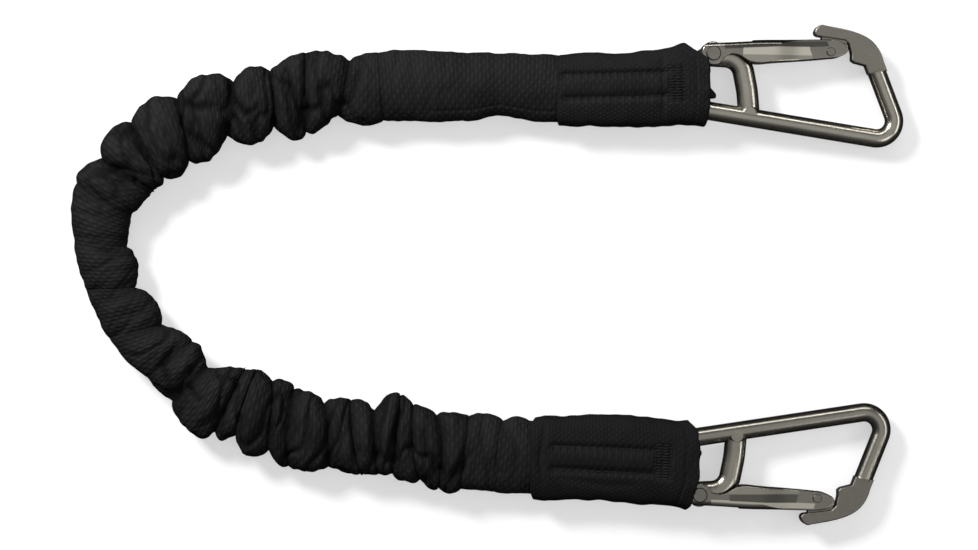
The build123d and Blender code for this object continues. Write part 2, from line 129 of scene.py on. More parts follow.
# Short wrinkles on the sleeve's upper and lower faces: their line, depth and half width.
WRINKLES = [
    (((-93.0, 85.7), (-85.3, 81.6), (-81.2, 71.3), (-79.7, 62.6)), 2.0, 1.5),
    (((-116.6, 72.4), (-110.5, 70.3), (-107.4, 64.2), (-105.0, 59.0)), 1.8, 1.5),
    (((-111.5, 81.6), (-109.5, 74.4), (-104.3, 69.2), (-98.1, 73.3)), 1.6, 1.5),
    (((-133.0, 74.4), (-124.8, 72.4), (-117.6, 73.4)), 1.8, 1.7),
    (((-126.9, 68.3), (-127.9, 61.1), (-121.7, 55.0)), 1.7, 1.6),
    (((-160.7, 46.7), (-152.5, 44.7), (-143.2, 42.6)), 1.4, 1.6),
    (((-176.0, 46.0), (-166.0, 45.0), (-152.0, 36.0), (-146.0, 35.0)), 1.0, 1.8),
    (((-134.0, -29.0), (-140.2, -38.4), (-137.1, -48.6)), 1.5, 1.9),
    (((-127.9, -38.4), (-129.4, -45.5), (-125.8, -52.7)), 2.0, 1.3),
    (((-152.0, -6.0), (-160.0, -9.0), (-167.0, -12.0)), 0.7, 2.2),
    (((-155.0, 12.0), (-163.0, 11.0), (-170.0, 12.0)), 0.7, 2.2),
    (((-38.0, -58.0), (-42.0, -70.0), (-45.0, -83.0)), 1.3, 1.3),
    (((-9.0, -76.0), (-15.0, -84.0), (-19.0, -92.0)), 1.8, 1.8),
    (((-28.0, -66.0), (-27.0, -75.0), (-29.0, -83.0)), 1.4, 1.2),
    (((-66.0, -60.0), (-64.0, -68.0), (-66.0, -80.0)), 1.0, 1.3),
    (((-78.0, -55.0), (-76.5, -66.0), (-79.0, -78.0)), 0.9, 1.6),
    (((8.0, -66.0), (11.0, -76.0), (10.0, -88.0)), 0.9, 2.0),
    (((-55.0, 91.0), (-58.0, 82.0), (-61.0, 72.0)), 1.2, 1.7),
    (((-70.0, 90.0), (-72.5, 78.0), (-70.0, 70.0)), 0.9, 1.7),
    (((-103.0, 86.0), (-101.0, 80.0), (-103.0, 75.0)), 0.9, 1.5),
]
SLEEVE_T = 1.0
SLEEVE_FLAT_M = (0.064, 0.80)   # the tubular webbing opened out, before it was gathered
RING_STEP = 0.62                # usual distance between two rings of points
AROUND = np.linspace(0, 2 * math.pi, 120, endpoint=False)[None, :]     # angles round the sleeve
OVERHANG = 0.16                 # how far a lobe leans over its folds, as a share of its swelling
PLEAT_DEPTH, PLEAT_HALF = 1.45, 0.11
TAPE_FROM, TAPE_TO, TAPE_WIDE = 36.0, 98.0, 4.3     # doubled edge along the sleeve's flat part
SOFT_Z = (0.25, 16.75)          # cloth stays between these heights
CORD_GAP, CORD_EASE = 0.15, 0.25    # room between the cord and the sleeve, and how softly it is kept

# Cuffs.  edges: x, then y of the upper and the lower edge.  back and mouth: x of that end across the
# cuff, -1 at the lower edge and 1 at the upper.  at and yaw: the eye bar's frame, for the sewing.  hem:
# its height.  flare: how far the mouth's corners stand out.  creases: line, depth and half width.
CUFF_A = dict(
    edges=[(29.2, 95.5, 64.9), (36, 96.0, 64.8), (43, 96.6, 64.7), (58, 96.2, 64.3),
           (71, 97.6, 64.5), (81, 99.6, 65.2), (94, 100.6, 64.9)],
    back=[(-1, 29.8), (-0.7, 29.2), (0.7, 29.0), (1, 29.9)],
    mouth=[(-1, 92.0), (-0.8, 93.2), (-0.2, 93.7), (0.3, 93.6), (0.6, 93.1), (0.75, 89.8), (0.9, 86.2),
           (1, 83.6)],
    at=(88.4, 82.8), yaw=1.6, hem=0.25, flare=0.5,
    creases=[(((73.8, 97.0), (74.2, 66.0)), 0.7, 1.3)],
)
CUFF_B = dict(
    edges=[(17.4, -60.9, -95.6), (23.6, -59.4, -96.3), (32.6, -59.8, -95.7), (47.4, -59.0, -96.1),
           (61.3, -59.6, -97.7), (73.6, -61.0, -98.2), (81, -62.0, -98.9), (90, -63.2, -100.2)],
    back=[(-1, 18.6), (-0.8, 17.6), (0.8, 17.4), (1, 19.4)],
    mouth=[(-1, 83.9), (-0.9, 85.4), (-0.7, 86.5), (-0.45, 88.1), (-0.2, 89.2), (0.1, 88.8),
           (0.4, 89.6), (0.7, 88.9), (0.85, 88.7), (1, 85.2)],
    at=(82.9, -79.7), yaw=-2.2, hem=0.6, flare=0.9,
    creases=[(((23.6, -63.0), (21.4, -78.0), (22.6, -88.0)), 0.9, 1.3),
             (((30.0, -86.0), (50.0, -89.5), (62.0, -89.0)), 0.5, 1.6)],
)
CUFF_T = 1.2
CUFF_HIGH, CUFF_LOW = 7.4, 7.9  # half thickness above and below the middle
CUFF_SQUARE = 2.7               # exponent of the cross section, 2 for an ellipse
CUFF_ROUND_MM = 78.0            # width of the cuff's cloth, once round
CUFF_RINGS = 150
CUFF_AROUND = np.linspace(0, 2 * math.pi, 132, endpoint=False)
CUFF_Z = (0.3, 16.7)            # the cuffs stay between these heights
HEM_WIDE = 5.1
# Two rows of stitches at ROW_SIDE from the cuff's middle, in grooves, and a bar tack near the mouth.
ROW_SIDE, ROW_FROM, ROW_TO = 5.0, -57.0, -13.5
STITCH_PITCH = 3.2
GROOVE_DEPTH, GROOVE_HALF = 1.3, 1.35
TACK_FROM, TACK_LONG, TACK_SIDE, TACK_STEP, TACK_DEPTH = -12.4, 6.8, 7.2, 1.2, 0.75

HOOK_A = dict(at=(88.4, 83.9), yaw=-3.1, turned=False)
HOOK_B = dict(at=(82.7, -81.4), yaw=2.2, turned=True)
HOOK_PITCH = 2.4                # degrees that both hooks' tips lie lower than their eyes
LOOP_A = dict(at=(88.4, 83.5), yaw=1.0)
LOOP_B = dict(at=(82.7, -81.0), yaw=-1.0)
LOOP_R, LOOP_T, LOOP_HALF = 4.42, 1.5, 4.6
LOOP_ROUND_MM = 22.0
LOOP_TURN = math.radians(38.0)  # how far past half round the bar it goes on each side
LEG_GAP, LEG_MEET, LEG_END = 1.95, 17.0, 54.0
# Gate springs: the gate's pivot in the hook's frame, and the coil's direction and ends from there.
PIVOT = (6.4, 12.3)
SPRING_ANGLE = 5.0
SPRING_FROM, SPRING_TO = 20.45, 39.95
SPRING_R, SPRING_WIRE, SPRING_TURNS = 1.95, 0.3, 8.0


# ---- numbers and lines ----

def smooth(x, a, b):
    """0 below a, 1 above b, smooth between."""
    t = np.clip((np.asarray(x, float) - a) / (b - a), 0.0, 1.0)
    return t * t * (3 - 2 * t)


def nurbs_line(name, points, z, per_run=40):
    """Points along the NURBS spline that has the route's points as its control points."""
    data = bpy.data.curves.new(name, "CURVE")
    data.dimensions = "3D"
    spline = data.splines.new("NURBS")
    spline.points.add(len(points) - 1)
    for p, (x, y) in zip(spline.points, points):
        p.co = (x, y, z, 1.0)
    spline.order_u = 3
    spline.use_endpoint_u = True
    spline.resolution_u = per_run
    probe = bpy.data.objects.new(name, data)
    mesh = bpy.data.meshes.new_from_object(probe)
    line = np.array([v.co for v in mesh.vertices], float).reshape(-1, 3)
    bpy.data.meshes.remove(mesh)
    bpy.data.curves.remove(data)
    return line


class Line:
    """A flat line by distance along it."""

    def __init__(self, points):
        self.points = points
        step = np.linalg.norm(np.diff(points, axis=0), axis=1)
        self.along = np.concatenate([[0], np.cumsum(step)])
        self.length = float(self.along[-1])
        d = np.gradient(points, self.along, axis=0)
        self.d = d / np.linalg.norm(d, axis=1)[:, None]

    def at(self, s):
        """Place and unit sideways direction (towards the inside of the U) at distance s."""
        s = np.asarray(s, float)
        p = np.stack([np.interp(s, self.along, self.points[:, k]) for k in range(2)], -1)
        t = np.stack([np.interp(s, self.along, self.d[:, k]) for k in range(2)], -1)
        t /= np.linalg.norm(t, axis=-1)[..., None]
        return p, np.stack([-t[..., 1], t[..., 0]], -1)

    def near(self, x, y):
        """Distance along, and signed distance to the side, of a point."""
        q = np.array([x, y])
        i = int(np.argmin(((self.points[:, :2] - q) ** 2).sum(1)))
        s = self.along[i] + (q - self.points[i, :2]) @ self.d[i, :2]
        p, side = self.at(s)
        return float(s), float((q - p) @ side)


def catmull(values, t):
    """Smooth curve through values at 0, 1, 2, ... that doesn't overshoot."""
    values = np.asarray(values, float)
    k = np.clip(np.floor(t).astype(int), 0, len(values) - 2)
    f = t - k
    slope = np.zeros(len(values))
    left, right = np.diff(values)[:-1], np.diff(values)[1:]
    same = left * right > 0
    slope[1:-1] = np.where(same, 2 * left * right / np.where(same, left + right, 1.0), 0.0)
    a, b, ma, mb = values[k], values[k + 1], slope[k], slope[k + 1]
    return ((2 * f ** 3 - 3 * f ** 2 + 1) * a + (f ** 3 - 2 * f ** 2 + f) * ma
            + (3 * f ** 2 - 2 * f ** 3) * b + (f ** 3 - f ** 2) * mb)


def distance_to(lines_xy, x, y):
    """Distance from points to a polyline, and the fraction along it of the nearest place."""
    best = np.full(x.shape, np.inf)
    part = np.zeros(x.shape)
    runs = len(lines_xy) - 1
    for i in range(runs):
        (ax, ay), (bx, by) = lines_xy[i], lines_xy[i + 1]
        dx, dy = bx - ax, by - ay
        f = np.clip(((x - ax) * dx + (y - ay) * dy) / (dx * dx + dy * dy), 0, 1)
        d = np.hypot(x - ax - f * dx, y - ay - f * dy)
        closer = d < best
        best = np.where(closer, d, best)
        part = np.where(closer, (i + f) / runs, part)
    return best, part


def noise_field(points, scale):
    """Smooth noise at points, each axis divided by its own scale."""
    q = (points / np.asarray(scale)).reshape(-1, 3)
    return np.array([noise.noise(p) for p in q]).reshape(points.shape[:-1])


def grid_normals(p):
    """Unit normals of a grid of points; the second index runs round."""
    n = np.cross(np.gradient(p, axis=0), np.roll(p, -1, 1) - np.roll(p, 1, 1))
    return n / np.maximum(np.linalg.norm(n, axis=2), 1e-9)[..., None]


def length_along(p):
    """Mean distance along a grid's first index, for every point."""
    step = np.linalg.norm(np.diff(p, axis=0), axis=2).mean(1)
    return np.repeat(np.concatenate([[0], np.cumsum(step)])[:, None], p.shape[1], 1)


# ---- meshes ----

def make_object(name, verts, faces, uvs, material):
    """Mesh object from points in millimetres, with a UV map in millimetres called cloth."""
    mesh = bpy.data.meshes.new(name)
    mesh.from_pydata((np.asarray(verts) * MM).tolist(), [], faces)
    layer = mesh.uv_layers.new(name="cloth")
    layer.data.foreach_set("uv", np.asarray(uvs, np.float32).ravel())
    mesh.polygons.foreach_set("use_smooth", np.ones(len(mesh.polygons), bool))
    mesh.update()
    obj = bpy.data.objects.new(name, mesh)
    bpy.context.scene.collection.objects.link(obj)
    obj.data.materials.append(material)
    return obj


def grid_arrays(p, u, v, closed_u, base=0):
    """Faces and UVs of a grid (n, m, 3) that is closed round m; u and v give each point's cloth place."""
    n, m = p.shape[:2]
    rows = n if closed_u else n - 1
    i = np.arange(rows)[:, None]
    j = np.arange(m)[None, :]
    i2, j2 = (i + 1) % n, (j + 1) % m
    faces = np.stack([i * m + j + 0 * i2, i * m + j2, i2 * m + j2, i2 * m + j], -1).reshape(-1, 4)
    wide = np.concatenate([v, v[:, :1] + (v[:, 1:2] - v[:, :1]) * m], 1)
    tall = np.concatenate([u, u[:, :1]], 1)
    uv = np.stack([
        np.stack([tall[i, j], wide[i, j]], -1), np.stack([tall[i, j + 1], wide[i, j + 1]], -1),
        np.stack([tall[i2, j + 1], wide[i2, j + 1]], -1), np.stack([tall[i2, j], wide[i2, j]], -1),
    ], 2).reshape(-1, 2)
    return p.reshape(-1, 3), faces + base, uv


def shell(name, outer, thick, u, v, material, every=1, deep=None):
    """Cloth tube with a real thickness: the outer grid, rounded rims and an inner grid.
    deep says how far down in a fold each outer point lies, 0 to 1; it becomes the attribute fold, painted
    shade for the cloth's material."""
    n = grid_normals(outer)
    middle = outer - n * (thick / 2)
    ends = []
    for at, towards in ((0, 1), (-1, -2)):
        out = outer[at] - outer[towards]
        out /= np.maximum(np.linalg.norm(out, axis=1), 1e-9)[:, None]
        ends.append(middle[at] + out * (thick * 0.45))
    keep = sorted(set(range(0, len(outer), every)) | {len(outer) - 1})
    inner = (outer - n * thick)[keep]
    p = np.concatenate([outer, ends[1][None], inner[::-1], ends[0][None]])
    uu = np.concatenate([u, u[-1:] + thick, u[keep][::-1], u[:1] - thick])
    vv = np.concatenate([v, v[-1:], v[keep][::-1], v[:1]])
    verts, faces, uv = grid_arrays(p, uu, vv, True)
    obj = make_object(name, verts, faces.tolist(), uv, material)
    deep = np.zeros(outer.shape[:2]) if deep is None else deep
    # The attribute fold carries painted shade: the cloth's material darkens where it lies deep in a fold
    # or along the sleeve's seam.
    wear_and_painted_shade = np.concatenate([deep, deep[-1:], deep[keep][::-1], deep[:1]])
    layer = obj.data.attributes.new("fold", "FLOAT", "POINT")
    layer.data.foreach_set("value", wear_and_painted_shade.ravel().astype(np.float32))
    return obj


def capped_tube(name, p, u, v, material):
    """Grid closed round its second index, with a face at each end."""
    verts, faces, uv = grid_arrays(p, u, v, False)
    n, m = p.shape[:2]
    caps = [list(range(m))[::-1], [(n - 1) * m + j for j in range(m)]]
    cap_uv = np.concatenate([np.stack([u[0], v[0]], -1)[::-1], np.stack([u[-1], v[-1]], -1)])
    return make_object(name, verts, faces.tolist() + caps, np.concatenate([uv, cap_uv]), material)


# ---- materials ----

def new_material(name):
    mat = bpy.data.materials.new(name)
    mat.use_nodes = True
    tree = mat.node_tree
    bsdf = next(n for n in tree.nodes if n.type == "BSDF_PRINCIPLED")
    return mat, tree, bsdf


class Nodes:
    """Short ways to add shader nodes."""

    def __init__(self, tree):
        self.tree = tree

    def link(self, a, b):
        self.tree.links.new(a, b)

    def put(self, socket, value):
        if hasattr(value, "is_output"):
            self.link(value, socket)
        else:
            socket.default_value = value

    def math(self, op, a, b=None, c=None):
        n = self.tree.nodes.new("ShaderNodeMath")
        n.operation = op
        for i, x in enumerate((a, b, c)):
            if x is not None:
                self.put(n.inputs[i], x)
        return n.outputs[0]

    def uv(self):
        n = self.tree.nodes.new("ShaderNodeUVMap")
        n.uv_map = "cloth"
        s = self.tree.nodes.new("ShaderNodeSeparateXYZ")
        self.link(n.outputs[0], s.inputs[0])
        return n.outputs[0], s.outputs[0], s.outputs[1]

    def place(self):
        return self.tree.nodes.new("ShaderNodeTexCoord").outputs["Object"]

    def noise(self, vector, scale, detail=3.0, rough=0.5, stretch=None):
        if stretch is not None:
            m = self.tree.nodes.new("ShaderNodeMapping")
            self.link(vector, m.inputs["Vector"])
            m.inputs["Scale"].default_value = stretch
            vector = m.outputs[0]
        n = self.tree.nodes.new("ShaderNodeTexNoise")
        self.link(vector, n.inputs["Vector"])
        n.inputs["Scale"].default_value = scale
        n.inputs["Detail"].default_value = detail
        n.inputs["Roughness"].default_value = rough
        return n.outputs["Fac"]

    def ramp(self, fac, stops):
        n = self.tree.nodes.new("ShaderNodeValToRGB")
        self.link(fac, n.inputs[0])
        while len(n.color_ramp.elements) < len(stops):
            n.color_ramp.elements.new(0.5)
        for e, (at, colour) in zip(n.color_ramp.elements, stops):
            e.position = at
            e.color = (*colour, 1.0) if hasattr(colour, "__len__") else (colour,) * 3 + (1.0,)
        return n.outputs[0]

    def between(self, fac, low, high):
        n = self.tree.nodes.new("ShaderNodeMapRange")
        self.link(fac, n.inputs[0])
        n.inputs["To Min"].default_value = low
        n.inputs["To Max"].default_value = high
        return n.outputs[0]

    def bump(self, height, strength, distance, normal=None):
        n = self.tree.nodes.new("ShaderNodeBump")
        self.link(height, n.inputs["Height"])
        n.inputs["Strength"].default_value = strength
        n.inputs["Distance"].default_value = distance
        if normal is not None:
            self.link(normal, n.inputs["Normal"])
        return n.outputs[0]

    def mix(self, fac, a, b):
        n = self.tree.nodes.new("ShaderNodeMix")
        n.data_type = "RGBA"
        self.put(n.inputs[0], fac)
        self.put(n.inputs[6], a if hasattr(a, "is_output") else (*a, 1.0))
        self.put(n.inputs[7], b if hasattr(b, "is_output") else (*b, 1.0))
        return n.outputs[2]


def webbing(name, rib, yarn, dark, light, depth):
    """Plain-woven webbing: crosswise ribs crossed by lengthwise yarns, black, a little faded and
    dusty.  The mesh attribute fold paints shade on it: darker where it lies deep in a fold."""
    mat, tree, bsdf = new_material(name)
    k = Nodes(tree)
    uv, along, across = k.uv()
    wobble = k.between(k.noise(uv, 0.22, 2.0), -0.35, 0.35)
    a = k.math("MULTIPLY", k.math("ADD", along, wobble), math.pi / rib)
    b = k.math("MULTIPLY", k.math("ADD", across, wobble), math.pi / yarn)
    ribs = k.math("ABSOLUTE", k.math("SINE", a))
    over = k.math("MULTIPLY", k.math("SINE", a), k.math("SINE", b))
    yarns = k.math("ABSOLUTE", k.math("SINE", b))
    fibre = k.noise(uv, 3.2, 4.0, 0.7)
    height = k.math("MULTIPLY_ADD", ribs, 0.40, k.math("MULTIPLY", over, 0.30))
    height = k.math("ADD", height, k.math("MULTIPLY", yarns, 0.12))
    height = k.math("MULTIPLY_ADD", fibre, 0.22, height)
    patches = k.noise(k.place(), 28.0, 4.0, 0.6)
    dust = k.noise(k.place(), 900.0, 2.0, 0.6)
    tone = k.math("MULTIPLY_ADD", patches, 0.6, k.math("MULTIPLY", height, 0.30))
    colour = k.ramp(tone, [(0.10, dark), (0.72, light)])
    specks = k.math("MULTIPLY", k.math("GREATER_THAN", dust, 0.71), 0.35)
    colour = k.mix(specks, colour, scaled(light, 2.6))
    # Painted shade: the colour darkens towards near black where the attribute fold says the cloth lies
    # deep in a fold or along the seam.
    fold = tree.nodes.new("ShaderNodeAttribute")
    fold.attribute_name = "fold"
    colour = k.mix(k.math("MULTIPLY", fold.outputs["Fac"], 0.95), colour, scaled(dark, 0.3))
    k.link(colour, bsdf.inputs["Base Color"])
    rough = k.math("ADD", k.between(patches, 0.62, 0.82), k.math("MULTIPLY", fold.outputs["Fac"], 0.18))
    k.link(rough, bsdf.inputs["Roughness"])
    bsdf.inputs["Specular IOR Level"].default_value = 0.10
    soft = k.bump(patches, 0.25, 0.0008)
    k.link(k.bump(height, 0.85, depth, soft), bsdf.inputs["Normal"])
    return mat


def twisted(name, dark, light, pitch, rough):
    """Thread or strand with a diagonal twist."""
    mat, tree, bsdf = new_material(name)
    k = Nodes(tree)
    _, along, across = k.uv()
    slope = k.math("ADD", k.math("MULTIPLY", along, 2 * math.pi / pitch), k.math("MULTIPLY", across, 1.6))
    strands = k.math("ABSOLUTE", k.math("SINE", slope))
    grime = k.noise(k.place(), 600.0, 3.0)
    k.link(k.ramp(k.math("MULTIPLY_ADD", strands, 0.6, k.math("MULTIPLY", grime, 0.4)),
                  [(0.1, dark), (0.9, light)]), bsdf.inputs["Base Color"])
    k.link(k.between(grime, rough - 0.1, rough + 0.1), bsdf.inputs["Roughness"])
    bsdf.inputs["Specular IOR Level"].default_value = 0.12
    k.link(k.bump(strands, 0.6, 0.00012), bsdf.inputs["Normal"])
    return mat


def braid(name, dark, light, fleck):
    """Diamond braid of a cord's jacket, with a paler marker yarn."""
    mat, tree, bsdf = new_material(name)
    k = Nodes(tree)
    uv, along, across = k.uv()
    p = k.math("MULTIPLY", k.math("ADD", along, across), math.pi / 1.6)
    q = k.math("MULTIPLY", k.math("SUBTRACT", along, across), math.pi / 1.6)
    cross = k.math("MULTIPLY", k.math("SINE", p), k.math("SINE", q))
    height = k.math("ADD", k.math("ABSOLUTE", cross), k.math("MULTIPLY", k.noise(uv, 4.0), 0.3))
    marker = k.math("GREATER_THAN", k.math("SINE", k.math("MULTIPLY", p, 0.25)), 0.93)
    colour = k.mix(marker, k.ramp(height, [(0.1, dark), (0.9, light)]), fleck)
    k.link(colour, bsdf.inputs["Base Color"])
    k.link(k.between(k.noise(k.place(), 300.0), 0.6, 0.85), bsdf.inputs["Roughness"])
    k.link(k.bump(height, 0.8, 0.0003), bsdf.inputs["Normal"])
    return mat


def scaled(colour, by):
    return tuple(by * c for c in colour)


def steel(name, colour, shade, rough, streak=(1.0, 1.0, 1.0), beak=None, painted_gate_hook=None, painted_gate_tones=()):
    """Stainless steel with fine draw marks, handling scratches and duller patches.
    beak is a hook whose forged beak is bead-blasted.  The next hook and its tones paint light and shade
    on its gate's sheet:
    the tones are the shares of colour painted on the gate's folded back, its web and its recess."""
    mat, tree, bsdf = new_material(name)
    k = Nodes(tree)
    here = k.place()
    cloud = k.noise(here, 55.0, 4.0, 0.6)
    marks = k.noise(here, 1500.0, 2.0, 0.6, stretch=streak)
    pits = k.noise(here, 2600.0, 2.0, 0.5)
    tone = k.ramp(k.math("MULTIPLY_ADD", cloud, 0.6, k.math("MULTIPLY", marks, 0.4)),
                  [(0.25, shade), (0.75, colour)])
    roughness = k.math("ADD", k.between(cloud, rough - 0.07, rough + 0.09),
                       k.math("MULTIPLY", marks, 0.03))
    bumped = k.bump(marks, 0.03, 0.00003)
    if beak is not None:
        mask = region(k, here, beak, BEAK)
        blasted = k.ramp(pits, [(0.3, scaled(colour, 0.43)), (0.7, scaled(colour, 0.59))])
        tone = k.mix(mask, tone, blasted)
        roughness = k.math("ADD", roughness, k.math("MULTIPLY", mask, 0.2))
        bumped = k.bump(k.math("MULTIPLY", pits, mask), 0.7, 0.00006, bumped)
    # Painted light and shade on the gate's sheet: its back, web and recess get darker or paler colour for
    # how they look under the lights.
    if painted_gate_hook is not None:
        for halves, share in zip((GATE_BACK, GATE_WEB, GATE_RECESS), painted_gate_tones):
            mask = region(k, here, painted_gate_hook, halves)
            tone = k.mix(mask, tone, scaled(colour, share))
            roughness = k.math("SUBTRACT", roughness, k.math("MULTIPLY", mask, 0.05))
    k.link(tone, bsdf.inputs["Base Color"])
    k.link(roughness, bsdf.inputs["Roughness"])
    bsdf.inputs["Metallic"].default_value = 1.0
    k.link(bumped, bsdf.inputs["Normal"])
    return mat


def hook_axes(hook):
    """Origin and unit axes of a hook's own frame, metres."""
    yaw, pitch = math.radians(hook["yaw"]), math.radians(HOOK_PITCH)
    x = np.array([math.cos(yaw) * math.cos(pitch), math.sin(yaw) * math.cos(pitch), -math.sin(pitch)])
    y = np.array([-math.sin(yaw), math.cos(yaw), 0.0])
    if hook["turned"]:
        y = -y
    return np.array([*hook["at"], MID_Z]) * MM, x, y, np.cross(x, y)


# Half planes in a hook's own frame, a * x + b * y >= c in millimetres, whose overlap is a region.
BEAK = [(-0.245, 0.969, -11.20), (1.0, 0.0, 46.0)]
# A gate's folded back, web and recess, where its steel gets painted light and shade.
GATE_BACK = [(0.068, -0.998, -16.66), (-0.08, 0.997, 13.40), (1.0, 0.0, 11.0), (-0.94, -0.34, -59.0)]
GATE_WEB = [(0.093, -0.996, -13.60), (0.051, -0.999, -15.10), (1.0, 0.0, 19.0), (-0.94, -0.34, -50.9)]
GATE_RECESS = [(-0.042, 0.999, 11.60)] + GATE_WEB


def region(k, here, hook, halves):
    """1 inside a region of a hook's plane, 0 outside, with a crisp edge."""
    origin, x, y, _ = hook_axes(hook)
    inside = None
    for a, b, c in halves:
        direction = a * x + b * y
        n = k.tree.nodes.new("ShaderNodeVectorMath")
        n.operation = "DOT_PRODUCT"
        k.link(here, n.inputs[0])
        n.inputs[1].default_value = tuple(direction)
        beyond = k.math("SUBTRACT", n.outputs["Value"], float(origin @ direction) + c * MM)
        step = k.math("MULTIPLY", beyond, 4000.0)
        inside = step if inside is None else k.math("MINIMUM", inside, step)
    return k.math("MAXIMUM", k.math("MINIMUM", inside, 1.0), 0.0)


def plastic(name, colour, shade):
    """Moulded plastic with a faint grain."""
    mat, tree, bsdf = new_material(name)
    k = Nodes(tree)
    cloud = k.noise(k.place(), 200.0, 3.0)
    k.link(k.ramp(cloud, [(0.3, shade), (0.7, colour)]), bsdf.inputs["Base Color"])
    k.link(k.between(cloud, 0.32, 0.48), bsdf.inputs["Roughness"])
    k.link(k.bump(k.noise(k.place(), 2500.0), 0.3, 0.00003), bsdf.inputs["Normal"])
    return mat


# ---- camera and light ----

# Name, place, the point it faces, size and power of each light.
LIGHTS = [
    ("key", (-0.95, 0.95, 0.90), (0.0, 0.0, 0.0), (0.45, 0.35), 40.0),
    ("fill", (0.85, -0.65, 1.20), (0.0, 0.0, 0.0), (0.5, 0.5), 2.5),
    ("side", (1.15, 0.10, 0.80), (0.1, 0.0, 0.0), (1.1, 0.20), 4.0),
    ("streak", (0.15, 1.15, 0.75), (0.1, 0.0, 0.0), (1.1, 0.20), 5.0),
]
# Brightness of the studio by height: 0 at the horizon, 1 straight above.
STUDIO = [(0.0, 0.04), (0.15, 0.05), (0.45, 0.14), (0.78, 0.24), (0.97, 1.0)]
VIEW_WIDE = 420.54
LENS, SENSOR = 100.0, 36.0
FLOOR_HALF_M = 6.0


def make_camera():
    """Camera straight above the lanyard."""
    scene = bpy.context.scene
    scene.view_settings.view_transform = "Standard"
    cam = bpy.data.cameras.new("camera")
    cam.sensor_width = SENSOR
    cam.lens = LENS
    eye = bpy.data.objects.new("camera", cam)
    eye.location = (-0.0005, 0.0008, (VIEW_WIDE * LENS / SENSOR + MID_Z) * MM)
    scene.collection.objects.link(eye)
    scene.camera = eye


def make_lights():
    """Soft area lights, and a studio that is bright straight above and dim at the sides."""
    scene = bpy.context.scene
    for name, place, target, size, power in LIGHTS:
        data = bpy.data.lights.new(name, "AREA")
        data.shape = "RECTANGLE"
        data.size, data.size_y = size
        data.energy = power
        obj = bpy.data.objects.new(name, data)
        obj.location = place
        obj.rotation_euler = (Vector(target) - Vector(place)).to_track_quat("-Z", "Y").to_euler()
        scene.collection.objects.link(obj)
    world = bpy.data.worlds.new("studio")
    scene.world = world
    world.use_nodes = True
    tree = world.node_tree
    k = Nodes(tree)
    back = next(n for n in tree.nodes if n.type == "BACKGROUND")
    where = tree.nodes.new("ShaderNodeTexCoord")
    parts = tree.nodes.new("ShaderNodeSeparateXYZ")
    k.link(where.outputs["Generated"], parts.inputs[0])
    k.link(k.ramp(parts.outputs[2], STUDIO), back.inputs[0])
    back.inputs[1].default_value = 0.7


def make_floor():
    """Plain pale paper that adds a little light of its own, so that shadows stay faint."""
    mat, tree, bsdf = new_material("floor_paper")
    k = Nodes(tree)
    k.link(k.ramp(k.noise(k.place(), 40.0), [(0.3, 0.44), (0.7, 0.46)]), bsdf.inputs["Base Color"])
    bsdf.inputs["Emission Color"].default_value = (1.0, 1.0, 1.0, 1.0)
    bsdf.inputs["Emission Strength"].default_value = 0.52
    bsdf.inputs["Roughness"].default_value = 0.9
    bsdf.inputs["Specular IOR Level"].default_value = 0.1
    z = float(cad_box[0].z) - 0.0001
    corners = [(x * FLOOR_HALF_M, y * FLOOR_HALF_M, z) for x, y in ((-1, -1), (1, -1), (1, 1), (-1, 1))]
    mesh = bpy.data.meshes.new("floor")
    mesh.from_pydata(corners, [], [(0, 1, 2, 3)])
    floor = bpy.data.objects.new("floor", mesh)
    floor.data.materials.append(mat)
    floor.visible_glossy = False
    floor.visible_diffuse = False
    bpy.context.scene.collection.objects.link(floor)


# ---- elastic cord ----

def tube_sections(line, half_w, half_h, around, lumps=0, lump=0.0, twist=0.0):
    """Rings round a flat line; half widths and heights by distance along it."""
    v = np.linspace(0, 2 * math.pi, around, endpoint=False)
    s = np.linspace(0, line.length, int(line.length / 1.6) + 1)
    place, side = line.at(s)
    w, h = half_w(s)[:, None], half_h(s)[:, None]
    ripple = 1.0 + lump * np.abs(np.cos(lumps * v[None, :] / 2 + twist * s[:, None])) if lumps else 1.0
    lat, up = w * np.cos(v) * ripple, h * np.sin(v) * ripple
    p = np.empty((len(s), around, 3))
    p[..., :2] = place[:, None] + side[:, None] * lat[..., None]
    p[..., 2] = MID_Z + up
    u = np.repeat(s[:, None], around, 1)
    vv = np.repeat((v * 4.0)[None, :], len(s), 0)
    return p, u, vv


def make_cord(jacket, rubber):
    """The elastic cord: braided jacket over a bundle of rubber strands, pressed flat at both ends."""
    line = Line(nurbs_line("cord_route", CORD_ROUTE, MID_Z))

    def ease(s):
        near_end = np.minimum(s, line.length - s)
        return smooth(near_end, 36.0, 50.0)

    def wide(less):
        return lambda s: 6.6 + (4.0 - 6.6) * ease(s) - less

    def high(less):
        return lambda s: 1.75 + (4.0 - 1.75) * ease(s) - less

    p, u, v = tube_sections(line, wide(0.0), high(0.0), 28)
    cover = capped_tube("core_jacket_braid", p, u, v, jacket)
    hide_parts("core_jacket")
    p, u, v = tube_sections(line, wide(0.95), high(0.6), 48, lumps=12, lump=-0.06, twist=0.03)
    core = capped_tube("core_rubber_strands", p, u, v, rubber)
    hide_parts("core_rubber")
    for piece in (cover, core):
        stretch_with_limb(piece)


def stretch_with_limb(piece):
    """Bake a soft piece's place into its mesh."""
    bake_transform(piece)


# ---- sleeve ----

